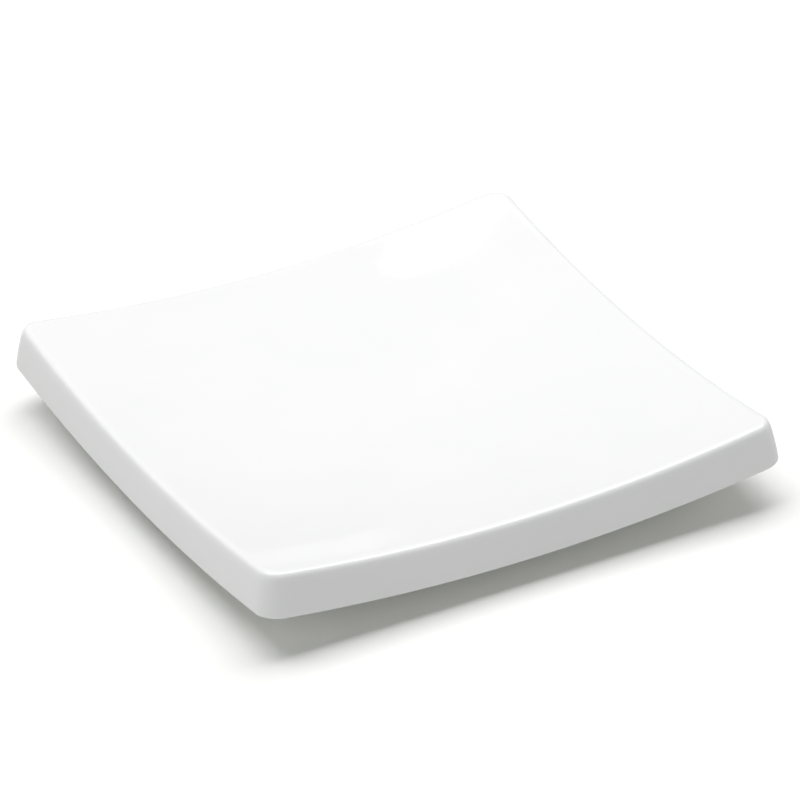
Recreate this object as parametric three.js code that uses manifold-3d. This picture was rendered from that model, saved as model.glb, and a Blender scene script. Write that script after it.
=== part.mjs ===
// A square dished plate: a hollow glazed body of two luted shells, standing on a low foot ring.
// Millimetres, +Z up, with the origin on the table under the middle of the plate.
import * as THREE from "three";
import { mergeVertices } from "three/addons/utils/BufferGeometryUtils.js";
import Module from "manifold-3d";

// Driving dimensions of the outside
const TOP_SIDE = 200; // side of the dished top, between its sharp edges
const DISH_RADIUS = 620; // radius of the sphere that the top is part of
const UNDERSIDE_RADIUS = 700; // the underside is flatter, so the plate thickens towards its corners
const THICKNESS = 15.2; // from the top to the underside, at the middle
const WALL_LEAN = 2.8; // how far the sides run outwards on their way down
const WALL_SWELL = 0.3; // how far they bulge half way down
const CORNER_RADIUS = 7.8; // rounding of the four corners in plan
const ROLL_WIDTH = 5; // soft roll of the top's edge, in plan
const ROLL_DEPTH = 6; // and in height
const ROLL_FULLNESS = 5; // how full its section is, where 2 is an ellipse
const LOWER_EDGE_RADIUS = 0.8; // crisper edge round the underside

// Driving dimensions of the shells
const TOP_WALL = 4; // thickness of the eating surface
const SIDE_WALL = 5; // thickness of the four sides
const BASE_WALL = 3.5; // thickness of the underside
const SEAT_WIDTH = 2.2; // ledge inside the sides that the base shell is luted against
const SLIP_GAP = 0.3; // room for the slip in every luted joint

// Driving dimensions of the foot and of the support ring above it
const FOOT_DROP = 2; // how far the foot stands below the lowest point of the underside
const FOOT_RADIUS = 65; // middle of the foot ring, and of the support ring
const FOOT_WIDTH = 5; // width of the ring at the table
const FOOT_TAPER = 1; // how much each flank widens towards the root
const FOOT_EDGE = 0.8; // rounding where the flanks meet the table
const KEY_DEPTH = 1.2; // depth of the groove that the foot is luted into
const SUPPORT_WIDTH = 4; // thickness of the support ring
const NOTCH_WIDTH = 12; // passages that let the air of the outer hollow reach the vent
const NOTCH_DEPTH = 3;

// Driving dimensions of the vent and its plug
const VENT_RADIUS = 3; // hole in the middle of the base shell
const FLANGE_RADIUS = 6; // flange of the plug, set flush in the underside
const FLANGE_THICKNESS = 1.2;
const LIP_RADIUS = 3.8; // lip that snaps in behind the hole
const LIP_HEIGHT = 2.4;
const PLUG_CLEARANCE = 0.3;

// Steps of the rounded forms
const SIDE_STEPS = 12; // along each side of a ring
const ARC_STEPS = 4; // round each corner of a ring
const TOP_STEPS = 4; // from the middle of the dish to its edge
const HOLLOW_STEPS = 3; // from the middle of the hollow to its sides
const BASE_STEPS = 2; // from the foot ring to the edge of the base shell
const ROLL_STEPS = 8; // over the roll of the top's edge
const WALL_STEPS = 3; // down the sides
const LOWER_STEPS = 2; // round the underside's edge and the foot's edges
const PLUG_STEPS = 24; // round the plug
const SHARPEST = 0.3; // least rounding of an inner corner

// Values that follow from the driving dimensions
const TOP_HALF = TOP_SIDE / 2;
const LEDGE_DEPTH = THICKNESS - BASE_WALL - SLIP_GAP;
const REBATE_INSET = SIDE_WALL - SEAT_WIDTH; // side wall left outside the base shell
const BASE_INSET = REBATE_INSET + SLIP_GAP;
const ROOT_HALF = FOOT_WIDTH / 2 + FOOT_TAPER; // half the foot's width at its root

// Height of the layer at a depth below the top, at a distance from the middle. Deeper layers are flatter.
function shellHeight(reach, depth) {
  const radius = DISH_RADIUS + ((UNDERSIDE_RADIUS - DISH_RADIUS) * depth) / THICKNESS;
  return FOOT_DROP + THICKNESS - depth + radius - Math.sqrt(radius ** 2 - reach ** 2);
}

// Half the plate's width at a depth below the top
function halfAt(depth) {
  const share = depth / THICKNESS;
  return TOP_HALF + WALL_LEAN * share + 4 * WALL_SWELL * share * (1 - share);
}

const cornerAt = (inset) => Math.max(CORNER_RADIUS - inset, SHARPEST);

const UNDERSIDE_AT_FOOT = shellHeight(FOOT_RADIUS + ROOT_HALF, THICKNESS);
const GROOVE_Z = UNDERSIDE_AT_FOOT + KEY_DEPTH;

// Directions from the middle at which every ring has a point, closer together at the corners
function ringBearings() {
  const turn = Math.PI / 2;
  const cornerStart = Math.atan2(TOP_HALF - CORNER_RADIUS, TOP_HALF);
  const bearings = [];
  for (let quarter = 0; quarter < 4; quarter++) {
    for (let i = 0; i < SIDE_STEPS; i++)
      bearings.push(quarter * turn + cornerStart * ((2 * i) / SIDE_STEPS - 1));
    for (let i = 0; i < ARC_STEPS; i++)
      bearings.push(quarter * turn + cornerStart + ((turn - 2 * cornerStart) * i) / ARC_STEPS);
  }
  return bearings;
}
const BEARINGS = ringBearings();

// Distance from the middle to a square with round corners, along one bearing
function squareReach(half, corner, bearing) {
  const across = Math.max(Math.abs(Math.cos(bearing)), Math.abs(Math.sin(bearing)));
  const along = Math.min(Math.abs(Math.cos(bearing)), Math.abs(Math.sin(bearing)));
  const flat = half - corner;
  if ((half * along) / across <= flat) return half / across;
  const middle = flat * (across + along);
  return middle + Math.sqrt(middle ** 2 - 2 * flat ** 2 + corner ** 2);
}

// A ring of points on the shell surface at a depth, round a square with round corners
function squareRing(half, corner, depth) {
  return BEARINGS.map((bearing) => {
    const reach = squareReach(half, corner, bearing);
    return new THREE.Vector3(reach * Math.cos(bearing), reach * Math.sin(bearing), shellHeight(reach, depth));
  });
}

// A level ring of points
const roundRing = (radius, z) =>
  BEARINGS.map((bearing) => new THREE.Vector3(radius * Math.cos(bearing), radius * Math.sin(bearing), z));

// A round ring on the shell surface at a depth
const shellRing = (radius, depth) => roundRing(radius, shellHeight(radius, depth));

// Rings that spread over a shell surface, from round near the middle to the square at its edge
function spread(from, half, corner, depth, steps) {
  const rings = [];
  for (let i = 1; i <= steps; i++) {
    const share = i / steps;
    const size = from + (half - from) * share;
    rings.push(squareRing(size, size * (1 - share) + corner * share, depth));
  }
  return rings;
}

// The rings of a quarter round, each made from its share of the radius inwards and of the radius along
function quarterRound(steps, ring) {
  const rings = [];
  for (let i = 0; i <= steps; i++) {
    const angle = ((Math.PI / 2) * i) / steps;
    rings.push(ring(1 - Math.cos(angle), 1 - Math.sin(angle)));
  }
  return rings;
}

// The rings over the soft roll, from the flat of the top to the sides
function rollRings(ring) {
  const rings = [];
  for (let i = 0; i <= ROLL_STEPS; i++) {
    const turn = ((Math.PI / 2) * i) / ROLL_STEPS;
    const [out, up] = [Math.sin(turn), Math.cos(turn)];
    const reach = (out ** ROLL_FULLNESS + up ** ROLL_FULLNESS) ** (-1 / ROLL_FULLNESS);
    rings.push(ring(ROLL_DEPTH * (1 - reach * up), ROLL_WIDTH * (1 - reach * out)));
  }
  return rings;
}

// A closed skin over rings of equal count. Without poles, the last ring joins the first.
function skin(rings, firstPole, lastPole) {
  const count = BEARINGS.length;
  const points = rings.flat();
  const faces = [];
  const joins = firstPole ? rings.length - 1 : rings.length;
  for (let r = 0; r < joins; r++) {
    const here = r * count;
    const next = ((r + 1) % rings.length) * count;
    for (let i = 0; i < count; i++) {
      const j = (i + 1) % count;
      faces.push(here + i, next + i, next + j, here + i, next + j, here + j);
    }
  }
  if (firstPole) {
    const first = points.push(firstPole) - 1;
    const last = points.push(lastPole) - 1;
    const end = (rings.length - 1) * count;
    for (let i = 0; i < count; i++) {
      const j = (i + 1) % count;
      faces.push(first, i, j, last, end + j, end + i);
    }
  }
  return new THREE.BufferGeometry().setFromPoints(points).setIndex(faces);
}

// A geometry as a solid that can be cut
const wasm = await Module();
wasm.setup();
function solid(geometry) {
  const bare = geometry.clone();
  bare.deleteAttribute("normal");
  bare.deleteAttribute("uv");
  const merged = mergeVertices(bare);
  return new wasm.Manifold(
    new wasm.Mesh({
      numProp: 3,
      vertProperties: merged.attributes.position.array,
      triVerts: new Uint32Array(merged.index.array),
    }),
  );
}

function geometryOf(cut) {
  const { vertProperties, triVerts } = cut.getMesh();
  return new THREE.BufferGeometry()
    .setAttribute("position", new THREE.BufferAttribute(vertProperties, 3))
    .setIndex(new THREE.BufferAttribute(triVerts, 1));
}

// The dished top with its four sides, open underneath, and a rebate for the base shell
function topShell() {
  const inner = (depth, inset) => squareRing(halfAt(depth) - inset, cornerAt(inset), depth);
  const wallDepth = THICKNESS - LOWER_EDGE_RADIUS - ROLL_DEPTH;
  const wall = [];
  for (let i = 1; i < WALL_STEPS; i++) wall.push(inner(ROLL_DEPTH + (wallDepth * i) / WALL_STEPS, 0));
  const lowerEdge = quarterRound(LOWER_STEPS, (inwards, short) =>
    inner(THICKNESS - short * LOWER_EDGE_RADIUS, inwards * LOWER_EDGE_RADIUS),
  );
  const flat = spread(0, TOP_HALF - ROLL_WIDTH, cornerAt(ROLL_WIDTH), 0, TOP_STEPS);
  const ceiling = spread(0, halfAt(TOP_WALL) - SIDE_WALL, cornerAt(SIDE_WALL), TOP_WALL, HOLLOW_STEPS);
  const rings = [
    ...flat.slice(0, -1),
    ...rollRings(inner),
    ...wall,
    ...lowerEdge,
    inner(THICKNESS, REBATE_INSET),
    inner(LEDGE_DEPTH, REBATE_INSET),
    inner(LEDGE_DEPTH, SIDE_WALL),
    ...ceiling.reverse(),
  ];
  const middle = (depth) => new THREE.Vector3(0, 0, shellHeight(0, depth));
  return skin(rings, middle(0), middle(TOP_WALL));
}

// The underside that closes the body, with the foot's groove, the vent and the flange's recess
function baseShell() {
  const inside = THICKNESS - BASE_WALL;
  const outwards = (from, depth) =>
    spread(from, halfAt(depth) - BASE_INSET, cornerAt(BASE_INSET), depth, BASE_STEPS);
  const seatInner = FOOT_RADIUS - SUPPORT_WIDTH / 2;
  const seatOuter = FOOT_RADIUS + SUPPORT_WIDTH / 2;
  const grooveInner = FOOT_RADIUS - ROOT_HALF - SLIP_GAP;
  const grooveOuter = FOOT_RADIUS + ROOT_HALF + SLIP_GAP;
  const recess = FLANGE_RADIUS + PLUG_CLEARANCE;
  const recessZ = shellHeight(recess, THICKNESS) + FLANGE_THICKNESS + PLUG_CLEARANCE;
  return skin([
    shellRing(VENT_RADIUS, inside),
    shellRing(seatInner / 2, inside),
    shellRing(seatInner, inside),
    shellRing(seatOuter, inside),
    ...outwards(seatOuter, inside),
    ...outwards(grooveOuter, THICKNESS).reverse(),
    shellRing(grooveOuter, THICKNESS),
    roundRing(grooveOuter, GROOVE_Z),
    roundRing(grooveInner, GROOVE_Z),
    shellRing(grooveInner, THICKNESS),
    shellRing(grooveInner / 2, THICKNESS),
    shellRing(recess, THICKNESS),
    roundRing(recess, recessZ),
    roundRing(VENT_RADIUS, recessZ),
  ]);
}

// The ring that the plate stands on, with its root in the base shell's groove
function footRing() {
  const rootTop = GROOVE_Z - SLIP_GAP;
  const rounded = (side) =>
    quarterRound(LOWER_STEPS, (inwards, up) =>
      roundRing(FOOT_RADIUS + side * (FOOT_WIDTH / 2 - inwards * FOOT_EDGE), up * FOOT_EDGE),
    );
  return skin([
    roundRing(FOOT_RADIUS + ROOT_HALF, rootTop),
    roundRing(FOOT_RADIUS + ROOT_HALF, UNDERSIDE_AT_FOOT),
    ...rounded(1),
    ...rounded(-1).reverse(),
    roundRing(FOOT_RADIUS - ROOT_HALF, shellHeight(FOOT_RADIUS - ROOT_HALF, THICKNESS)),
    roundRing(FOOT_RADIUS - ROOT_HALF, rootTop),
  ]);
}

// The ring inside the hollow that carries the top right above the foot, notched to let air pass
function supportRing() {
  const inner = FOOT_RADIUS - SUPPORT_WIDTH / 2;
  const outer = FOOT_RADIUS + SUPPORT_WIDTH / 2;
  const floor = (radius) => shellHeight(radius, THICKNESS - BASE_WALL) + SLIP_GAP;
  const roof = (radius) => shellHeight(radius, TOP_WALL) - SLIP_GAP;
  const ring = skin([
    roundRing(inner, roof(inner)),
    roundRing(outer, roof(outer)),
    roundRing(outer, floor(outer)),
    roundRing(inner, floor(inner)),
  ]);
  const span = 2 * (outer + SUPPORT_WIDTH);
  const cutTop = roof(outer) + NOTCH_DEPTH;
  const cutBottom = roof(inner) - NOTCH_DEPTH;
  const slots = [
    [span, NOTCH_WIDTH],
    [NOTCH_WIDTH, span],
  ].map(([x, y]) =>
    solid(new THREE.BoxGeometry(x, y, cutTop - cutBottom).translate(0, 0, (cutTop + cutBottom) / 2)),
  );
  return geometryOf(solid(ring).subtract(slots[0]).subtract(slots[1]));
}

// The soft plug that closes the vent, flush with the underside
function ventPlug() {
  const stem = VENT_RADIUS - PLUG_CLEARANCE;
  const bottom = shellHeight(FLANGE_RADIUS, THICKNESS);
  const lipZ = shellHeight(0, THICKNESS - BASE_WALL) + PLUG_CLEARANCE;
  const profile = [
    [0, bottom],
    [FLANGE_RADIUS, bottom],
    [FLANGE_RADIUS, bottom + FLANGE_THICKNESS],
    [stem, bottom + FLANGE_THICKNESS],
    [stem, lipZ],
    [LIP_RADIUS, lipZ],
    [stem, lipZ + LIP_HEIGHT],
    [0, lipZ + LIP_HEIGHT],
  ].map(([radius, z]) => new THREE.Vector2(radius, z));
  return new THREE.LatheGeometry(profile, PLUG_STEPS).rotateX(Math.PI / 2);
}

const glaze = new THREE.MeshStandardMaterial({ color: 0xf4f4f3, roughness: 0.08, metalness: 0 });
const bisque = new THREE.MeshStandardMaterial({ color: 0xdcd7cc, roughness: 0.8, metalness: 0 });
const silicone = new THREE.MeshStandardMaterial({ color: 0xd8d9d6, roughness: 0.45, metalness: 0 });

const plate = new THREE.Group();
for (const [name, geometry, material] of [
  ["top_shell", topShell(), glaze],
  ["base_shell", baseShell(), glaze],
  ["support_ring", supportRing(), bisque],
  ["foot_ring", footRing(), bisque],
  ["vent_plug", ventPlug(), silicone],
]) {
  const mesh = new THREE.Mesh(geometry, material);
  mesh.name = name;
  plate.add(mesh);
}

export default plate;
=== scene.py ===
"""A square dished plate in gloss white glaze: the finished surfaces, the materials and the studio.

Every new piece is modelled flat or in section, as a potter would cut it, and then slumped into the dish
or turned round the plate's upright axis. Lengths are in metres, +Z is up, and the table is at height 0.
"""
import math

import bmesh
import bpy
from mathutils import Matrix, Vector


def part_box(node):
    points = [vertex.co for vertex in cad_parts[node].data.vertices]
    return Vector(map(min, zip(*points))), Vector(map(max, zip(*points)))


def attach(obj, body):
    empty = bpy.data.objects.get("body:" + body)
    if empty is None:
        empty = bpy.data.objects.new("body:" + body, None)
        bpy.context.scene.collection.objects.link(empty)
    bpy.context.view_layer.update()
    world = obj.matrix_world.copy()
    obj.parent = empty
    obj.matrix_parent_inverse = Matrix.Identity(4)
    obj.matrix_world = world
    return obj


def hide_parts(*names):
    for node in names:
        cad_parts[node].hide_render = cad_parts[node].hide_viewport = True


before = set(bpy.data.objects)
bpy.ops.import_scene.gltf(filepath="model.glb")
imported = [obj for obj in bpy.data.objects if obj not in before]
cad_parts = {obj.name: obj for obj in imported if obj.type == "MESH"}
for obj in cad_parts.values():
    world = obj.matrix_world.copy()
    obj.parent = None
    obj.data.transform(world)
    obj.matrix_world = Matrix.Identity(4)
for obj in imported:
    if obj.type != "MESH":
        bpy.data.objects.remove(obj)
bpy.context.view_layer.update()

bl_info = {
    "name": "Square Plate",
    "version": (1, 0, 0),
    "blender": (4, 5, 0),
    "location": "3D View > Sidebar > Plate",
    "description": "Models a square dished plate in gloss white glaze and sets it in a white studio",
    "category": "Add Mesh",
}

# What the frame says about the pieces that nothing else sets
UNDERSIDE_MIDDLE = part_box("base_shell")[0].z
FOOT_ROOT_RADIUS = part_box("foot_ring")[1].x
FOOT_ROOT_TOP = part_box("foot_ring")[1].z
PLUG_BOTTOM, PLUG_TOP = (corner.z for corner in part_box("vent_plug"))
PLUG_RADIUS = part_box("vent_plug")[1].x

# How finely the round forms are made
CORNER_SEGMENTS = 16
ROLL_SEGMENTS = 24
WALL_LEVELS = 8
LOWER_EDGE_SEGMENTS = 8
SEAM_SEGMENTS = 4
ARC_STEPS = 8
LATHE_STEPS = 180
CELL = 0.004
SMOOTH_ANGLE = math.radians(35)
TOLERANCE = 1e-6

# Least upright part of the normal of a face that counts as level
LEVEL_NORMAL = 0.999

# Share of the full size at which the round edges stay inside the frame's flat facets
INSIDE_FACETS = 0.999

# Section of the glaze's lower end on the foot: rise and bulge of its points, in units of the bead's swell
BEAD_SECTION = ((3, 0), (1.5, 0.6), (0, 1), (-1, 0.5), (-1.2, 0))

# Part of the noise that a mottle spreads over its whole range
MOTTLE_LOW = 0.3
MOTTLE_HIGH = 0.7


def length(name, description, default):
    """A property that holds a length."""
    return bpy.props.FloatProperty(
        name=name, description=description, default=default, precision=5, subtype="DISTANCE", unit="LENGTH"
    )


def angle(name, description, degrees):
    """A property that holds an angle."""
    return bpy.props.FloatProperty(
        name=name, description=description, default=math.radians(degrees), subtype="ANGLE", unit="ROTATION"
    )


def number(name, description, default):
    """A property that holds a plain number."""
    return bpy.props.FloatProperty(name=name, description=description, default=default)


def level(name, description, default):
    """A property that holds the brightness of a lamp or of the studio, where 1 is white."""
    return bpy.props.FloatProperty(
        name=name, description=description, default=default, min=0.0, subtype="FACTOR"
    )


def colour(name, description, default):
    """A property that holds a colour."""
    return bpy.props.FloatVectorProperty(
        name=name, description=description, default=default, size=4, min=0.0, max=1.0, subtype="COLOR"
    )


class PlateSizes(bpy.types.PropertyGroup):
    """Sizes of the plate and of its pieces."""

    top_side: length("Top side", "Side of the dished top, before its edges are rolled", 0.2)
    dish_radius: length("Dish radius", "Radius of the sphere that the top is part of", 0.62)
    underside_radius: length("Underside radius", "Radius of the flatter sphere of the underside", 0.7)
    thickness: length("Thickness", "From the top to the underside, at the middle", 0.0152)
    wall_lean: length("Wall lean", "How far the sides run outwards on their way down", 0.0028)
    wall_swell: length("Wall swell", "How far the sides bulge half way down", 0.0003)
    corner_radius: length("Corner radius", "Rounding of the four corners in plan", 0.0078)
    roll_width: length("Roll width", "Soft roll of the top's edge, in plan", 0.005)
    roll_depth: length("Roll depth", "Soft roll of the top's edge, in height", 0.006)
    roll_fullness: number("Roll fullness", "How full the roll's section is, where 2 is an ellipse", 5.0)
    lower_edge: length("Lower edge", "Radius of the crisper edge round the underside", 0.0008)
    underside_middle: length("Underside", "Height of the underside's middle", UNDERSIDE_MIDDLE)
    top_wall: length("Top wall", "Thickness of the eating surface", 0.004)
    side_wall: length("Side wall", "Thickness of the four sides", 0.005)
    base_wall: length("Base wall", "Thickness of the underside", 0.0035)
    seat_width: length("Seat width", "Ledge inside the sides that the base is luted against", 0.0022)
    slip_gap: length("Slip gap", "Room for the slip above the base and round the foot's root", 0.0003)
    seam_gap: length("Seam gap", "Hairline left between the base and its neighbours", 0.00004)
    seam_edge: length("Seam edge", "Softening of both edges of the seam under the glaze", 0.00045)
    foot_radius: length("Foot radius", "Middle of the foot ring", 0.065)
    foot_width: length("Foot width", "Width of the foot ring at the table", 0.005)
    foot_edge: length("Foot edge", "Rounding where the flanks meet the table", 0.0008)
    groove_depth: length("Groove depth", "Depth of the groove that the foot is luted into", 0.0019)
    slip_fillet: length("Slip fillet", "Radius of the sponged slip between foot and underside", 0.0014)
    bead_height: length("Bead height", "Height of the glaze's lower end on the foot's flanks", 0.0013)
    bead_swell: length("Bead swell", "How far the glaze swells at its lower end", 0.00012)
    vent_radius: length("Vent radius", "Hole in the middle of the base", 0.003)
    recess_gap: length("Recess gap", "Clearance round the plug", 0.0003)
    flange_thickness: length("Flange thickness", "Thickness of the plug's flange", 0.0012)
    plug_edge: length("Plug edge", "Rounding of the plug's edges", 0.0003)
    dimple_radius: length("Dimple radius", "Shallow dimple in the middle of the plug", 0.0024)
    dimple_depth: length("Dimple depth", "Depth of the plug's dimple", 0.00035)


class PlateColours(bpy.types.PropertyGroup):
    """Colours of the plate's finishes and of the studio."""

    glaze: colour("Glaze", "White glaze where it lies thin", (0.865, 0.865, 0.862, 1.0))
    glaze_deep: colour("Deep glaze", "White glaze where it lies thick", (0.845, 0.847, 0.845, 1.0))
    speck: colour("Speck", "Faint specks in the glaze", (0.72, 0.71, 0.69, 1.0))
    clay: colour("Clay", "Bare fired clay", (0.72, 0.69, 0.63, 1.0))
    clay_dark: colour("Dark clay", "Darker grains of the clay", (0.55, 0.51, 0.45, 1.0))
    silicone: colour("Silicone", "Milky silicone of the plug", (0.7, 0.71, 0.69, 1.0))
    silicone_dark: colour("Dark silicone", "Silicone where it is handled", (0.62, 0.63, 0.61, 1.0))
    floor: colour("Floor", "White studio floor", (0.86, 0.86, 0.855, 1.0))
    floor_mirrored: colour("Mirrored floor", "The floor as the glaze mirrors it", (0.56, 0.56, 0.555, 1.0))
    floor_shade: colour("Floor shade", "Tint of the floor where it lies in shade", (0.98, 1.0, 0.83, 1.0))
    room: colour("Room", "Tint of the light from the room", (0.97, 1.0, 0.99, 1.0))


class PlateFinishes(bpy.types.PropertyGroup):
    """Grain and gloss of the glaze, the bare clay and the silicone."""

    pool_width: length("Pool width", "Width of the patches where the glaze lies thick", 0.05)
    ripple_width: length("Ripple width", "Width of the faint ripples in the glaze", 0.02)
    ripple_depth: length("Ripple depth", "Depth of the faint ripples in the glaze", 0.00002)
    speck_spacing: length("Speck spacing", "Spacing of the places where the glaze may have a speck", 0.014)
    speck_size: length("Speck size", "Radius of a speck in the glaze", 0.0003)
    speck_share: number("Speck share", "Share of those places that do have a speck", 0.12)
    glaze_index: number("Glaze index", "Refractive index of the glaze", 1.5)
    glaze_smooth: number("Smooth glaze", "Roughness of the glaze where it is smoothest", 0.03)
    glaze_dull: number("Dull glaze", "Roughness of the glaze where it is dullest", 0.06)
    patch_width: length("Patch width", "Width of the darker patches of the clay", 0.006)
    patch_depth: number("Patch depth", "How much of the dark clay's colour the patches take", 0.35)
    sand_width: length("Sand width", "Width of the clay's sandy grain", 0.0004)
    grain_spacing: length("Grain spacing", "Spacing of the places where the clay may have a grain", 0.0016)
    grain_size: length("Grain size", "Radius of a dark grain in the clay", 0.0003)
    grain_share: number("Grain share", "Share of those places that do have a grain", 0.4)
    ring_scale: number("Ring scale", "How close the rings of grinding lie", 320.0)
    ring_wobble: number("Ring wobble", "How uneven the rings of grinding are", 1.2)
    ring_relief: number("Ring relief", "Depth of the rings of grinding, where the sand's is 1", 0.6)
    clay_relief: length("Clay relief", "Depth of the clay's sandy grain", 0.00003)
    clay_smooth: number("Smooth clay", "Roughness of the clay where it is smoothest", 0.72)
    clay_dull: number("Dull clay", "Roughness of the clay where it is dullest", 0.9)
    handled_width: length("Handled width", "Width of the handled patches of the silicone", 0.003)
    mould_width: length("Mould width", "Width of the silicone's moulded grain", 0.00025)
    mould_depth: length("Mould depth", "Depth of the silicone's moulded grain", 0.000008)
    silicone_smooth: number("Smooth silicone", "Roughness of the silicone where it is fresh", 0.42)
    silicone_dull: number("Dull silicone", "Roughness of the silicone where it is handled", 0.55)


class PlateStudio(bpy.types.PropertyGroup):
    """The camera and the light of the studio."""

    azimuth: angle("Azimuth", "Turn of the camera round the plate", -26.995)
    elevation: angle("Elevation", "Height of the camera above the table, as an angle", 30.662)
    roll: angle("Roll", "Tilt of the camera about its own line of sight", -1.902)
    distance: length("Distance", "From the middle of the dish to the camera", 2.24374)
    aim_right: length("Aim right", "How far right of the dish's middle the camera looks", 0.00308)
    aim_up: length("Aim up", "How far above the dish's middle the camera looks", 0.00329)
    field_of_view: angle("Field of view", "Angle that the picture's side takes in", 7.276)
    box_height: length("Softbox height", "Height of the softbox and the strip lamp above the table", 4.0)
    box_width: length("Softbox width", "Size of the softbox from left to right", 5.8)
    box_length: length("Softbox length", "Size of the softbox from front to back", 3.1)
    box_right: length("Softbox right", "How far right of the plate the softbox hangs", 0.4)
    box_behind: length("Softbox behind", "How far behind the plate the softbox hangs", 1.05)
    box_level: level("Softbox level", "Brightness of the softbox", 4.1)
    strip_width: length("Strip width", "Width of the strip lamp that the glaze mirrors", 0.262)
    strip_length: length("Strip length", "Length of the strip lamp", 1.2)
    strip_right: length("Strip right", "How far right of the plate the strip lamp hangs", 1.394)
    strip_behind: length("Strip behind", "How far behind the plate the strip lamp hangs", 3.122)
    strip_turn: angle("Strip turn", "Turn of the strip lamp about the upright axis", -39.3)
    strip_level: level("Strip level", "Brightness of the strip lamp", 2.0)
    ambient: level("Ambient", "Brightness of the room that the surfaces gather", 0.206)
    ambient_lean: level("Ambient lean", "How much more the room gives from the front left than overall", 0.75)
    low_wall: level("Low wall", "Brightness of the room near the floor, as the glaze mirrors it", 0.55)
    high_wall: level("High wall", "Brightness of the room well above the floor, mirrored", 1.0)
    gleam: level("Gleam", "Brightness added by a slanted gleam low in the room, mirrored", 0.35)
    floor_lift: level("Floor lift", "Brightness added to the floor where it is seen", 0.082)


def select_where(piece, kind, wanted):
    """Selects the edges or faces of the piece being edited that pass a test, and nothing else."""
    bpy.ops.mesh.select_mode(type=kind)
    bpy.ops.mesh.select_all(action="DESELECT")
    mesh = bmesh.from_edit_mesh(piece.data)
    found = [item for item in (mesh.edges if kind == "EDGE" else mesh.faces) if wanted(item)]
    if not found:
        raise RuntimeError(f"{piece.name} has none of the wanted {kind.lower()}s")
    for item in found:
        item.select_set(True)
    mesh.select_flush_mode()
    bmesh.update_edit_mesh(piece.data)


def is_upright(edge):
    """Whether an edge runs straight up."""
    start, end = (vertex.co for vertex in edge.verts)
    return (start.xy - end.xy).length < TOLERANCE


def lies_at(item, height):
    """Whether all of an edge or face lies at one height."""
    return all(abs(vertex.co.z - height) < TOLERANCE for vertex in item.verts)


def faces_up(face):
    """Whether a face looks straight up."""
    return face.normal.z > LEVEL_NORMAL


def faces_down(face):
    """Whether a face looks straight down."""
    return face.normal.z < -LEVEL_NORMAL


def round_edges(piece, wanted, radius, segments):
    """Rounds the edges of the piece being edited that pass a test."""
    select_where(piece, "EDGE", wanted)
    bpy.ops.mesh.bevel(offset=radius, segments=segments, affect="EDGES")


def raise_selected(height):
    """Extrudes the selected faces straight up."""
    bpy.ops.mesh.extrude_region_move(TRANSFORM_OT_translate={"value": (0, 0, height)})


def add_slab(name, side, top, bottom, corner):
    """Starts a piece as a flat square slab with round corners between two heights, left in edit mode."""
    bpy.ops.object.select_all(action="DESELECT")
    bpy.ops.mesh.primitive_cube_add(
        size=1, location=(0, 0, (top + bottom) / 2), scale=(side, side, top - bottom)
    )
    slab = bpy.context.object
    slab.name = slab.data.name = name
    bpy.ops.object.transform_apply(location=True, rotation=True, scale=True)
    bpy.ops.object.mode_set(mode="EDIT")
    round_edges(slab, is_upright, corner, CORNER_SEGMENTS)
    return slab


def round_point(turn, fullness):
    """How far inwards and upwards a rounding of size 1 has come after a turn. Fullness 2 is a circle."""
    reach = (math.cos(turn) ** fullness + math.sin(turn) ** fullness) ** (-1 / fullness)
    return 1 - reach * math.cos(turn), reach * math.sin(turn)


def roll_edge(piece, sizes):
    """Rolls the top of the slab being edited up from its sides, by insets that widen and rise less."""
    select_where(piece, "FACE", faces_up)
    inset = 0.0
    rise = 0.0
    for step in range(1, ROLL_SEGMENTS + 1):
        inwards, upwards = round_point(math.pi / 2 * step / ROLL_SEGMENTS, sizes.roll_fullness)
        next_inset = sizes.roll_width * inwards
        next_rise = sizes.roll_depth * upwards
        bpy.ops.mesh.inset(thickness=next_inset - inset, depth=next_rise - rise)
        inset = next_inset
        rise = next_rise


def make_active(piece):
    """Selects one piece and nothing else, and makes it the active one."""
    bpy.ops.object.select_all(action="DESELECT")
    piece.select_set(True)
    bpy.context.view_layer.objects.active = piece


def apply_modifier(piece, kind, **settings):
    """Gives a piece a modifier with its settings and applies it."""
    make_active(piece)
    bpy.ops.object.modifier_add(type=kind)
    modifier = piece.modifiers[-1]
    for name, value in settings.items():
        setattr(modifier, name, value)
    bpy.ops.object.modifier_apply(modifier=modifier.name)


def cut_round(piece, radius, top, bottom, inner_radius=0.0):
    """Cuts a round hole, or a ring if it has an inner radius, out of a piece between two heights."""
    bpy.ops.object.select_all(action="DESELECT")
    bpy.ops.mesh.primitive_cylinder_add(
        vertices=LATHE_STEPS, radius=radius, depth=top - bottom, location=(0, 0, (top + bottom) / 2)
    )
    cutter = bpy.context.object
    bpy.ops.object.transform_apply(location=True, rotation=True, scale=True)
    if inner_radius:
        bpy.ops.object.mode_set(mode="EDIT")
        select_where(cutter, "FACE", lambda face: faces_up(face) or faces_down(face))
        bpy.ops.mesh.inset(thickness=radius - inner_radius)
        bpy.ops.mesh.bridge_edge_loops()
        bpy.ops.object.mode_set(mode="OBJECT")
    apply_modifier(piece, "BOOLEAN", operation="DIFFERENCE", solver="EXACT", object=cutter)
    bpy.data.objects.remove(cutter)


def cut_into_cells(reach):
    """Cuts the flat piece being edited along X and Y, into cells small enough to bend smoothly."""
    count = int(reach / CELL)
    for across in (Vector((1, 0, 0)), Vector((0, 1, 0))):
        for step in range(-count, count + 1):
            bpy.ops.mesh.select_all(action="SELECT")
            bpy.ops.mesh.bisect(plane_co=across * step * CELL, plane_no=across, threshold=TOLERANCE)


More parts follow.
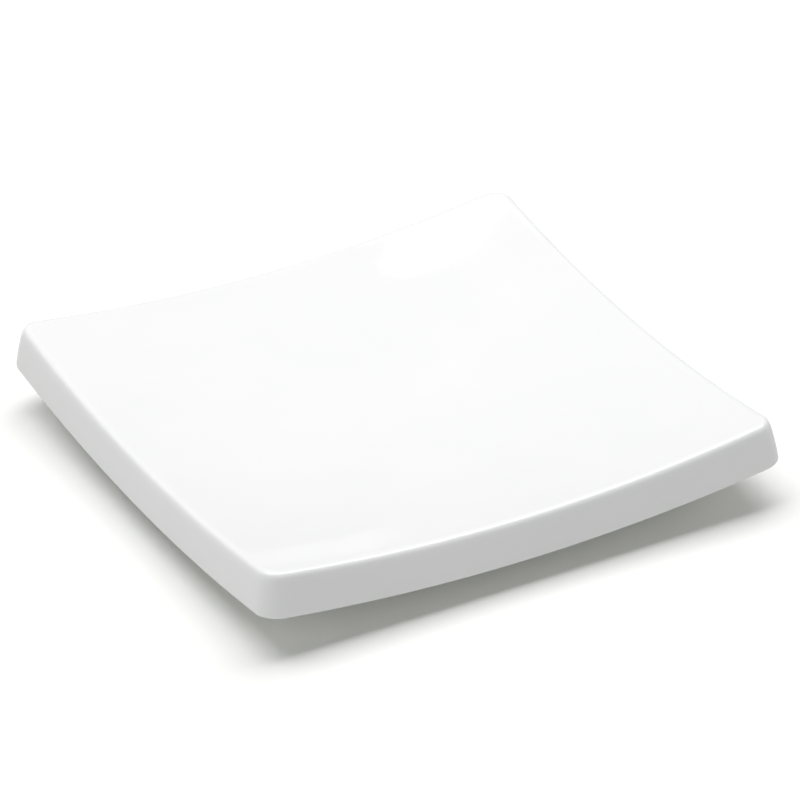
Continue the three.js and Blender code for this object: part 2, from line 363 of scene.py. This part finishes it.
def cut_into_levels(top, bottom):
    """Cuts the flat piece being edited level with the table, so that its sides can bulge."""
    for step in range(1, WALL_LEVELS):
        bpy.ops.mesh.select_all(action="SELECT")
        height = top + (bottom - top) * step / WALL_LEVELS
        bpy.ops.mesh.bisect(plane_co=(0, 0, height), plane_no=(0, 0, 1), threshold=TOLERANCE)


def layer_height(sizes, reach, depth):
    """Height of the layer at a depth below the top, at a reach from the middle. Deeper ones are flatter."""
    radius = sizes.dish_radius + (sizes.underside_radius - sizes.dish_radius) * depth / sizes.thickness
    return sizes.underside_middle + sizes.thickness - depth + radius - math.sqrt(radius**2 - reach**2)


def slump(piece, sizes):
    """Lays a flat piece in the dish and leans its sides out. Its height, from 0 down, becomes its depth."""
    for vertex in piece.data.vertices:
        depth = -vertex.co.z
        share = depth / sizes.thickness
        out = sizes.wall_lean * share + 4 * sizes.wall_swell * share * (1 - share)
        plan = vertex.co.xy * (1 + out / (sizes.top_side / 2))
        place = Vector((plan.x, plan.y, layer_height(sizes, plan.length, depth)))
        vertex.co = place * INSIDE_FACETS


def draw_section(name, points):
    """Starts a piece as a line in the plane of X and Z, drawn point by point, left in edit mode."""
    bpy.ops.object.select_all(action="DESELECT")
    bpy.ops.mesh.primitive_plane_add(size=CELL)
    piece = bpy.context.object
    piece.name = piece.data.name = name
    bpy.ops.object.mode_set(mode="EDIT")
    bpy.ops.mesh.select_mode(type="VERT")
    bpy.ops.mesh.select_all(action="SELECT")
    bpy.ops.mesh.merge(type="CENTER")
    start, *others = (Vector(point) for point in points)
    bpy.ops.transform.translate(value=(start.x, 0, start.y))
    here = start
    for point in others:
        move = (point.x - here.x, 0, point.y - here.y)
        bpy.ops.mesh.extrude_vertices_move(TRANSFORM_OT_translate={"value": move})
        here = point
    return piece


def turn_section():
    """Spins the section being edited once round the upright axis and closes what it makes."""
    bpy.ops.mesh.select_all(action="SELECT")
    bpy.ops.mesh.spin(steps=LATHE_STEPS, angle=math.tau, center=(0, 0, 0), axis=(0, 0, 1))
    bpy.ops.mesh.select_all(action="SELECT")
    bpy.ops.mesh.remove_doubles(threshold=TOLERANCE)
    bpy.ops.mesh.normals_make_consistent(inside=False)
    bpy.ops.object.mode_set(mode="OBJECT")


def arc(centre, radius, start, end):
    """Points on an arc of a section, from one angle to another in degrees."""
    angles = [math.radians(start + (end - start) * step / ARC_STEPS) for step in range(ARC_STEPS + 1)]
    return [(centre[0] + radius * math.cos(a), centre[1] + radius * math.sin(a)) for a in angles]


def finish_piece(piece, materials, node):
    """Smooths a modelled piece, gives it its materials and sets it on the plate in place of its node."""
    make_active(piece)
    bpy.ops.object.shade_smooth_by_angle(angle=SMOOTH_ANGLE)
    apply_modifier(piece, "WEIGHTED_NORMAL", keep_sharp=True)
    for material in materials:
        piece.data.materials.append(material)
    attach(piece, "root")
    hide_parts(node)


def feed(tree, socket, value):
    """Links an input to another node's output, or sets it to a plain value."""
    if isinstance(value, bpy.types.NodeSocket):
        tree.links.new(value, socket)
    else:
        socket.default_value = value


def add_node(tree, kind, **inputs):
    """Adds a node to a tree and feeds its inputs by name. An underscore in a name stands for a space."""
    node = tree.nodes.new(kind)
    for name, value in inputs.items():
        feed(tree, node.inputs[name.replace("_", " ")], value)
    return node


def add_maths(tree, operation, *values):
    """Adds a Math node and returns its result."""
    node = tree.nodes.new("ShaderNodeMath")
    node.operation = operation
    for socket, value in zip(node.inputs, values):
        feed(tree, socket, value)
    return node.outputs["Value"]


def mix_colours(tree, share, first, second):
    """Adds a Mix node for two colours and returns its result."""
    node = tree.nodes.new("ShaderNodeMix")
    node.data_type = "RGBA"
    for name, value in (("Factor_Float", share), ("A_Color", first), ("B_Color", second)):
        feed(tree, next(item for item in node.inputs if item.identifier == name), value)
    return next(item for item in node.outputs if item.identifier == "Result_Color")


def new_group(name, inputs, output):
    """Starts a shader node group and returns it with its inputs and with the socket of its result."""
    group = bpy.data.node_groups.new(name, "ShaderNodeTree")
    for label, kind in inputs.items():
        group.interface.new_socket(name=label, in_out="INPUT", socket_type=kind)
    group.interface.new_socket(name=output, in_out="OUTPUT", socket_type="NodeSocketFloat")
    result = group.nodes.new("NodeGroupOutput").inputs[output]
    return group, group.nodes.new("NodeGroupInput").outputs, result


def mottle_group():
    """The group that gives soft patches of a set width, from 0 to 1."""
    if "Soft Mottle" in bpy.data.node_groups:
        return bpy.data.node_groups["Soft Mottle"]
    inputs = {"Vector": "NodeSocketVector", "Width": "NodeSocketFloat", "Detail": "NodeSocketFloat"}
    group, given, result = new_group("Soft Mottle", inputs, "Patches")
    scale = add_maths(group, "DIVIDE", 1.0, given["Width"])
    noise = add_node(
        group, "ShaderNodeTexNoise", Vector=given["Vector"], Scale=scale, Detail=given["Detail"]
    )
    spread = add_node(
        group, "ShaderNodeMapRange", Value=noise.outputs["Fac"], From_Min=MOTTLE_LOW, From_Max=MOTTLE_HIGH
    )
    group.links.new(spread.outputs["Result"], result)
    return group


def speck_group():
    """The group that gives round specks, with a set spacing and in a set share of their places."""
    if "Specks" in bpy.data.node_groups:
        return bpy.data.node_groups["Specks"]
    inputs = {
        "Vector": "NodeSocketVector",
        "Spacing": "NodeSocketFloat",
        "Size": "NodeSocketFloat",
        "Share": "NodeSocketFloat",
    }
    group, given, result = new_group("Specks", inputs, "Specks")
    scale = add_maths(group, "DIVIDE", 1.0, given["Spacing"])
    cells = add_node(group, "ShaderNodeTexVoronoi", Vector=given["Vector"], Scale=scale)
    reach = add_maths(group, "MULTIPLY", cells.outputs["Distance"], given["Spacing"])
    edge = add_node(group, "ShaderNodeMapRange", Value=reach, From_Min=given["Size"], From_Max=0.0)
    edge.interpolation_type = "SMOOTHSTEP"
    chance = add_node(group, "ShaderNodeSeparateColor", Color=cells.outputs["Color"])
    present = add_maths(group, "LESS_THAN", chance.outputs["Red"], given["Share"])
    group.links.new(add_maths(group, "MULTIPLY", edge.outputs["Result"], present), result)
    return group


def place_group(tree, group, **inputs):
    """Places a node group in a tree with its own values and returns its result."""
    node = tree.nodes.new("ShaderNodeGroup")
    node.node_tree = group
    for name, value in inputs.items():
        feed(tree, node.inputs[name], value)
    return node.outputs[0]


def new_material(name):
    """Starts a material and returns it with its node tree, its shader and its Object coordinates."""
    material = bpy.data.materials.new(name)
    material.use_nodes = True
    tree = material.node_tree
    place = tree.nodes.new("ShaderNodeTexCoord").outputs["Object"]
    return material, tree, tree.nodes["Principled BSDF"], place


def set_roughness(tree, shader, share, smooth, dull):
    """Makes a shader's roughness run from smooth to dull as a share runs from 0 to 1."""
    gloss = add_node(tree, "ShaderNodeMapRange", Value=share, To_Min=smooth, To_Max=dull)
    tree.links.new(gloss.outputs["Result"], shader.inputs["Roughness"])


def add_bump(tree, shader, height, depth):
    """Turns a height from 0 to 1 into relief of a set depth on a shader."""
    bump = add_node(tree, "ShaderNodeBump", Height=height, Distance=depth, Strength=1.0)
    tree.links.new(bump.outputs["Normal"], shader.inputs["Normal"])


def glaze_material(colours, finish):
    """Gloss white glaze: slightly uneven in tone and gloss, faintly rippled, with a few specks."""
    if "White glaze" in bpy.data.materials:
        return bpy.data.materials["White glaze"]
    material, tree, shader, place = new_material("White glaze")
    pools = place_group(tree, mottle_group(), Vector=place, Width=finish.pool_width, Detail=2.0)
    ripple = place_group(tree, mottle_group(), Vector=place, Width=finish.ripple_width, Detail=1.0)
    specks = place_group(
        tree, speck_group(), Vector=place,
        Spacing=finish.speck_spacing, Size=finish.speck_size, Share=finish.speck_share,
    )
    tone = mix_colours(tree, pools, colours.glaze, colours.glaze_deep)
    tree.links.new(mix_colours(tree, specks, tone, colours.speck), shader.inputs["Base Color"])
    set_roughness(tree, shader, ripple, finish.glaze_smooth, finish.glaze_dull)
    shader.inputs["IOR"].default_value = finish.glaze_index
    add_bump(tree, shader, ripple, finish.ripple_depth)
    return material


def clay_material(colours, finish):
    """Bare fired clay: matt, sandy, with darker grains and the fine rings of grinding."""
    if "Bare clay" in bpy.data.materials:
        return bpy.data.materials["Bare clay"]
    material, tree, shader, place = new_material("Bare clay")
    patches = place_group(tree, mottle_group(), Vector=place, Width=finish.patch_width, Detail=4.0)
    sand = place_group(tree, mottle_group(), Vector=place, Width=finish.sand_width, Detail=3.0)
    grains = place_group(
        tree, speck_group(), Vector=place,
        Spacing=finish.grain_spacing, Size=finish.grain_size, Share=finish.grain_share,
    )
    rings = add_node(
        tree, "ShaderNodeTexWave", Vector=place, Scale=finish.ring_scale, Distortion=finish.ring_wobble
    )
    rings.wave_type = "RINGS"
    rings.rings_direction = "Z"
    darker = add_maths(tree, "MULTIPLY", patches, finish.patch_depth)
    tone = mix_colours(tree, darker, colours.clay, colours.clay_dark)
    tree.links.new(mix_colours(tree, grains, tone, colours.clay_dark), shader.inputs["Base Color"])
    set_roughness(tree, shader, sand, finish.clay_smooth, finish.clay_dull)
    ground = add_maths(tree, "MULTIPLY", rings.outputs["Fac"], finish.ring_relief)
    add_bump(tree, shader, add_maths(tree, "ADD", sand, ground), finish.clay_relief)
    return material


def silicone_material(colours, finish):
    """Milky silicone: satin, slightly handled, with a fine moulded grain."""
    if "Milky silicone" in bpy.data.materials:
        return bpy.data.materials["Milky silicone"]
    material, tree, shader, place = new_material("Milky silicone")
    handled = place_group(tree, mottle_group(), Vector=place, Width=finish.handled_width, Detail=3.0)
    grain = place_group(tree, mottle_group(), Vector=place, Width=finish.mould_width, Detail=2.0)
    tone = mix_colours(tree, handled, colours.silicone, colours.silicone_dark)
    tree.links.new(tone, shader.inputs["Base Color"])
    set_roughness(tree, shader, handled, finish.silicone_smooth, finish.silicone_dull)
    add_bump(tree, shader, grain, finish.mould_depth)
    return material


class PLATE_OT_glazed_top(bpy.types.Operator):
    """Model the dished top with its four sides, hollow underneath"""

    bl_idname = "plate.glazed_top"
    bl_label = "Glazed Top"

    def execute(self, context):
        scene = context.scene
        sizes = scene.plate_sizes
        underside = -sizes.thickness
        top = add_slab("glazed_top", sizes.top_side, -sizes.roll_depth, underside, sizes.corner_radius)
        roll_edge(top, sizes)
        round_edges(top, lambda edge: lies_at(edge, underside), sizes.lower_edge, LOWER_EDGE_SEGMENTS)
        select_where(top, "FACE", faces_down)
        rebate = sizes.side_wall - sizes.seat_width
        bpy.ops.mesh.inset(thickness=rebate - sizes.lower_edge - sizes.seam_edge)
        bpy.ops.mesh.inset(thickness=sizes.seam_edge, depth=-sizes.seam_edge)
        raise_selected(sizes.base_wall + sizes.slip_gap - sizes.seam_edge)
        bpy.ops.mesh.inset(thickness=sizes.seat_width)
        raise_selected(sizes.thickness - sizes.base_wall - sizes.slip_gap - sizes.top_wall)
        cut_into_levels(-sizes.roll_depth, underside + sizes.lower_edge)
        cut_into_cells(sizes.top_side / 2 - sizes.corner_radius)
        bpy.ops.object.mode_set(mode="OBJECT")
        slump(top, sizes)
        finish_piece(top, [glaze_material(scene.plate_colours, scene.plate_finishes)], "top_shell")
        return {"FINISHED"}


class PLATE_OT_glazed_base(bpy.types.Operator):
    """Model the underside that closes the body, with the foot's groove and the vent"""

    bl_idname = "plate.glazed_base"
    bl_label = "Glazed Base"

    def execute(self, context):
        scene = context.scene
        sizes = scene.plate_sizes
        inset = sizes.side_wall - sizes.seat_width + sizes.seam_gap
        underside = -sizes.thickness
        inside = underside + sizes.base_wall
        side = sizes.top_side - 2 * inset
        base = add_slab("glazed_base", side, inside, underside, sizes.corner_radius - inset)
        round_edges(base, lambda edge: lies_at(edge, underside), sizes.seam_edge, SEAM_SEGMENTS)
        bpy.ops.object.mode_set(mode="OBJECT")
        # The slump spreads the underside, so the round cuts start smaller by as much
        spread = 1 + sizes.wall_lean / (sizes.top_side / 2)
        recess = PLUG_RADIUS + sizes.recess_gap
        recess_top = underside + sizes.flange_thickness + sizes.recess_gap
        below = underside - sizes.base_wall
        cut_round(base, recess / spread, recess_top, below)
        cut_round(base, sizes.vent_radius / spread, inside + sizes.base_wall, below)
        groove_inner = 2 * sizes.foot_radius - FOOT_ROOT_RADIUS - sizes.slip_gap
        groove_outer = FOOT_ROOT_RADIUS + sizes.slip_gap
        cut_round(base, groove_outer / spread, underside + sizes.groove_depth, below, groove_inner / spread)
        bpy.ops.object.mode_set(mode="EDIT")
        cut_into_cells(side / 2 - sizes.corner_radius)
        bpy.ops.object.mode_set(mode="OBJECT")
        slump(base, sizes)
        finish_piece(base, [glaze_material(scene.plate_colours, scene.plate_finishes)], "base_shell")
        return {"FINISHED"}


class PLATE_OT_foot(bpy.types.Operator):
    """Turn the foot ring, glazed on its flanks and bare where it was ground"""

    bl_idname = "plate.foot"
    bl_label = "Foot Ring"

    def flank(self, sizes, side):
        """Points of one flank, from the feather edge of the slip fillet down to the ground face."""
        root = FOOT_ROOT_RADIUS - sizes.foot_radius
        foot = sizes.foot_width / 2
        fillet = sizes.slip_fillet
        reach = sizes.foot_radius + side * (root + fillet)
        under = layer_height(sizes, reach, sizes.thickness) - sizes.seam_gap
        slope = (root - foot) / (under - fillet - sizes.foot_edge)
        points = arc((root + fillet, under - fillet), fillet, 90, 180)
        for rise, bulge in BEAD_SECTION:
            height = sizes.bead_height + rise * sizes.bead_swell
            out = foot + slope * (height - sizes.foot_edge) + bulge * sizes.bead_swell
            points.append((out, height))
        points += arc((foot - sizes.foot_edge, sizes.foot_edge), sizes.foot_edge, 0, -90)
        return [(sizes.foot_radius + side * out, height) for out, height in points]

    def execute(self, context):
        scene = context.scene
        sizes = scene.plate_sizes
        outer = self.flank(sizes, 1)
        inner = self.flank(sizes, -1)
        root_inner = 2 * sizes.foot_radius - FOOT_ROOT_RADIUS
        root = [
            (root_inner, inner[0][1]),
            (root_inner, FOOT_ROOT_TOP),
            (FOOT_ROOT_RADIUS, FOOT_ROOT_TOP),
            (FOOT_ROOT_RADIUS, outer[0][1]),
        ]
        foot = draw_section("bare_foot", outer + inner[::-1] + root + outer[:1])
        turn_section()
        clay = clay_material(scene.plate_colours, scene.plate_finishes)
        glaze = glaze_material(scene.plate_colours, scene.plate_finishes)
        finish_piece(foot, [clay, glaze], "foot_ring")
        for face in foot.data.polygons:
            face.material_index = 1 if face.center.z > sizes.bead_height - sizes.bead_swell else 0
        return {"FINISHED"}


class PLATE_OT_plug(bpy.types.Operator):
    """Turn the soft plug that closes the vent"""

    bl_idname = "plate.plug"
    bl_label = "Vent Plug"

    def dimple(self, sizes):
        """Points of the dimple in the plug's bottom, a smooth rise towards the middle."""
        points = []
        for step in range(ARC_STEPS + 1):
            share = step / ARC_STEPS
            rise = sizes.dimple_depth * (1 + math.cos(math.pi * share)) / 2
            points.append((sizes.dimple_radius * share, PLUG_BOTTOM + rise))
        return points

    def execute(self, context):
        scene = context.scene
        sizes = scene.plate_sizes
        edge = sizes.plug_edge
        stem = sizes.vent_radius - sizes.recess_gap
        flange_top = PLUG_BOTTOM + sizes.flange_thickness
        lip = sizes.underside_middle + sizes.base_wall + sizes.recess_gap
        lip_radius = sizes.vent_radius + 2 * sizes.recess_gap
        section = (
            self.dimple(sizes)
            + arc((PLUG_RADIUS - edge, PLUG_BOTTOM + edge), edge, -90, 0)
            + arc((PLUG_RADIUS - edge, flange_top - edge), edge, 0, 90)
            + [(stem, flange_top), (stem, lip)]
            + [(lip_radius, lip + edge), (stem, PLUG_TOP - edge), (stem - edge, PLUG_TOP), (0, PLUG_TOP)]
        )
        plug = draw_section("soft_plug", section)
        turn_section()
        silicone = silicone_material(scene.plate_colours, scene.plate_finishes)
        finish_piece(plug, [silicone], "vent_plug")
        return {"FINISHED"}


class PLATE_OT_support(bpy.types.Operator):
    """Give the support ring inside the hollow its bare clay"""

    bl_idname = "plate.support"
    bl_label = "Support Ring"

    def execute(self, context):
        scene = context.scene
        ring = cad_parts["support_ring"]
        ring.data.materials.clear()
        ring.data.materials.append(clay_material(scene.plate_colours, scene.plate_finishes))
        return {"FINISHED"}


class PLATE_OT_stage(bpy.types.Operator):
    """Set up the white floor, the lamps, the room and the camera"""

    bl_idname = "plate.stage"
    bl_label = "Studio"

    # The floor's side, and where it starts and ends turning white, in metres
    floor_side = 80.0
    floor_near = 0.6
    floor_far = 3.0

    # Where the mirrored room brightens and where its gleam lies, as parts of a direction of length 1
    wall_low = 0.24
    wall_high = 0.65
    gleam_right = 0.458
    gleam_height = 0.205
    gleam_slant = 2.1
    gleam_half_width = 0.02
    gleam_half_length = 0.018
    soft_edge = 0.006

    def lay_floor(self, studio, colours):
        """A floor that gathers the plate's shadow and turns plain white away from it."""
        bpy.ops.object.select_all(action="DESELECT")
        bpy.ops.mesh.primitive_plane_add(size=self.floor_side)
        floor = bpy.context.object
        floor.name = floor.data.name = "studio_floor"
        material, tree, shader, place = new_material("Studio floor")
        tree.nodes.remove(shader)
        path = tree.nodes.new("ShaderNodeLightPath").outputs
        mirrored = add_maths(tree, "MAXIMUM", path["Is Glossy Ray"], path["Is Transmission Ray"])
        seen = add_maths(tree, "MAXIMUM", path["Is Camera Ray"], mirrored)
        paint = mix_colours(tree, path["Is Glossy Ray"], colours.floor, colours.floor_mirrored)
        matt = add_node(tree, "ShaderNodeBsdfDiffuse", Color=paint)
        glow = add_maths(tree, "MULTIPLY", seen, studio.floor_lift)
        lift = add_node(tree, "ShaderNodeEmission", Color=colours.floor_shade, Strength=glow)
        lifted = tree.nodes.new("ShaderNodeAddShader")
        tree.links.new(matt.outputs["BSDF"], lifted.inputs[0])
        tree.links.new(lift.outputs["Emission"], lifted.inputs[1])
        white = add_node(tree, "ShaderNodeEmission", Strength=1.0)
        reach = tree.nodes.new("ShaderNodeVectorMath")
        reach.operation = "LENGTH"
        tree.links.new(place, reach.inputs[0])
        away = add_node(
            tree, "ShaderNodeMapRange", Value=reach.outputs["Value"],
            From_Min=self.floor_near, From_Max=self.floor_far,
        )
        whitened = add_maths(tree, "MULTIPLY", seen, away.outputs["Result"])
        blend = add_node(tree, "ShaderNodeMixShader", Fac=whitened)
        tree.links.new(lifted.outputs["Shader"], blend.inputs[1])
        tree.links.new(white.outputs["Emission"], blend.inputs[2])
        tree.links.new(blend.outputs["Shader"], tree.nodes["Material Output"].inputs["Surface"])
        floor.data.materials.append(material)

    def hang_lamp(self, name, shape, place, turn, width, depth, brightness):
        """A level lamp that shines straight down, with a set brightness of its face."""
        bpy.ops.object.light_add(type="AREA", location=place, rotation=(0, 0, turn))
        lamp = bpy.context.object
        lamp.name = lamp.data.name = name
        lamp.data.shape = shape
        lamp.data.size = width
        lamp.data.size_y = depth
        area = width * depth * (math.pi / 4 if shape == "ELLIPSE" else 1)
        lamp.data.energy = brightness * math.pi * area
        lamp.visible_camera = False

    def hang_lamps(self, studio):
        """One large softbox above and behind the plate, and a strip lamp that the far corner mirrors."""
        over = (studio.box_right, studio.box_behind, studio.box_height)
        self.hang_lamp(
            "softbox", "RECTANGLE", over, 0.0, studio.box_width, studio.box_length, studio.box_level
        )
        beyond = (studio.strip_right, studio.strip_behind, studio.box_height)
        self.hang_lamp(
            "strip_lamp", "ELLIPSE", beyond, studio.strip_turn, studio.strip_width, studio.strip_length,
            studio.strip_level,
        )

    def within(self, tree, offset, half):
        """A value that is 1 where an offset is less than half a width and fades to 0 past it."""
        fade = add_node(
            tree, "ShaderNodeMapRange", Value=add_maths(tree, "ABSOLUTE", offset),
            From_Min=half - self.soft_edge, From_Max=half + self.soft_edge, To_Min=1.0, To_Max=0.0,
        )
        return fade.outputs["Result"]

    def mirrored_room(self, tree, towards, studio):
        """Brightness of the room as the glaze mirrors it: a wall that brightens upwards, with a gleam."""
        wall = add_node(
            tree, "ShaderNodeMapRange", Value=towards["Z"], From_Min=self.wall_low, From_Max=self.wall_high,
            To_Min=studio.low_wall, To_Max=studio.high_wall,
        )
        along = add_maths(tree, "SUBTRACT", towards["X"], self.gleam_right)
        middle = add_maths(tree, "MULTIPLY_ADD", along, -self.gleam_slant, self.gleam_height)
        across = add_maths(tree, "SUBTRACT", towards["Z"], middle)
        in_length = self.within(tree, along, self.gleam_half_length)
        in_width = self.within(tree, across, self.gleam_half_width)
        gleam = add_maths(tree, "MULTIPLY", in_length, in_width)
        return add_maths(tree, "MULTIPLY_ADD", gleam, studio.gleam, wall.outputs["Result"])

    def gathered_room(self, tree, towards, studio):
        """Brightness of the room as matt surfaces gather it, with more from the front left."""
        right_and_back = add_maths(tree, "ADD", towards["X"], towards["Y"])
        back_right = add_maths(tree, "MULTIPLY", right_and_back, math.sqrt(0.5))
        lean = add_maths(tree, "MULTIPLY", back_right, studio.ambient_lean)
        return add_maths(tree, "MULTIPLY", add_maths(tree, "SUBTRACT", 1.0, lean), studio.ambient)

    def paint_room(self, scene, studio, colours):
        """A room that looks plain white, with its own light for the glaze and for matt surfaces."""
        scene.world = bpy.data.worlds.new("studio_room")
        scene.world.use_nodes = True
        tree = scene.world.node_tree
        path = tree.nodes.new("ShaderNodeLightPath").outputs
        place = tree.nodes.new("ShaderNodeTexCoord").outputs["Generated"]
        towards = add_node(tree, "ShaderNodeSeparateXYZ", Vector=place).outputs
        mirrored = self.mirrored_room(tree, towards, studio)
        glossy = add_maths(tree, "MULTIPLY", path["Is Glossy Ray"], mirrored)
        plain = add_maths(tree, "MAXIMUM", path["Is Camera Ray"], path["Is Transmission Ray"])
        room = self.gathered_room(tree, towards, studio)
        gathered = add_maths(tree, "MULTIPLY", path["Is Diffuse Ray"], room)
        strength = add_maths(tree, "ADD", add_maths(tree, "ADD", glossy, plain), gathered)
        tint = mix_colours(tree, path["Is Diffuse Ray"], (1, 1, 1, 1), colours.room)
        background = tree.nodes["Background"]
        tree.links.new(strength, background.inputs["Strength"])
        tree.links.new(tint, background.inputs["Color"])

    def set_camera(self, scene, studio, sizes):
        """The camera, at the angle and distance that fit the plate's edges in the photograph."""
        level_right = Vector((math.cos(studio.azimuth), math.sin(studio.azimuth), 0))
        level_back = Vector((math.sin(studio.azimuth), -math.cos(studio.azimuth), 0))
        back = level_back * math.cos(studio.elevation) + Vector((0, 0, math.sin(studio.elevation)))
        level_up = back.cross(level_right)
        right = level_right * math.cos(studio.roll) + level_up * math.sin(studio.roll)
        up = level_up * math.cos(studio.roll) - level_right * math.sin(studio.roll)
        middle = Vector((0, 0, sizes.underside_middle + sizes.thickness))
        place = middle + right * studio.aim_right + up * studio.aim_up + back * studio.distance
        bpy.ops.object.camera_add()
        camera = bpy.context.object
        camera.name = camera.data.name = "studio_camera"
        camera.data.lens = camera.data.sensor_width / 2 / math.tan(studio.field_of_view / 2)
        camera.matrix_world = Matrix.Translation(place) @ Matrix((right, up, back)).transposed().to_4x4()
        scene.camera = camera

    def execute(self, context):
        scene = context.scene
        scene.view_settings.view_transform = "Standard"
        self.lay_floor(scene.plate_studio, scene.plate_colours)
        self.hang_lamps(scene.plate_studio)
        self.paint_room(scene, scene.plate_studio, scene.plate_colours)
        self.set_camera(scene, scene.plate_studio, scene.plate_sizes)
        return {"FINISHED"}


OPERATORS = (
    PLATE_OT_stage,
    PLATE_OT_glazed_top,
    PLATE_OT_glazed_base,
    PLATE_OT_foot,
    PLATE_OT_plug,
    PLATE_OT_support,
)


class VIEW3D_PT_square_plate(bpy.types.Panel):
    """Lists the plate's pieces, sizes, colours and finishes, and the studio"""

    bl_label = "Square Plate"
    bl_space_type = "VIEW_3D"
    bl_region_type = "UI"
    bl_category = "Plate"

    def draw(self, context):
        scene = context.scene
        for operator in OPERATORS:
            self.layout.operator(operator.bl_idname)
        for group in (scene.plate_sizes, scene.plate_colours, scene.plate_finishes, scene.plate_studio):
            box = self.layout.box()
            for name in group.__annotations__:
                box.prop(group, name)


CLASSES = (PlateSizes, PlateColours, PlateFinishes, PlateStudio, *OPERATORS, VIEW3D_PT_square_plate)


def register():
    for item in CLASSES:
        bpy.utils.register_class(item)
    bpy.types.Scene.plate_sizes = bpy.props.PointerProperty(type=PlateSizes)
    bpy.types.Scene.plate_colours = bpy.props.PointerProperty(type=PlateColours)
    bpy.types.Scene.plate_finishes = bpy.props.PointerProperty(type=PlateFinishes)
    bpy.types.Scene.plate_studio = bpy.props.PointerProperty(type=PlateStudio)


def unregister():
    del bpy.types.Scene.plate_studio
    del bpy.types.Scene.plate_finishes
    del bpy.types.Scene.plate_colours
    del bpy.types.Scene.plate_sizes
    for item in reversed(CLASSES):
        bpy.utils.unregister_class(item)


def main():
    register()
    bpy.ops.plate.stage()
    bpy.ops.plate.glazed_top()
    bpy.ops.plate.glazed_base()
    bpy.ops.plate.foot()
    bpy.ops.plate.plug()
    bpy.ops.plate.support()


if __name__ == "__main__":
    main()
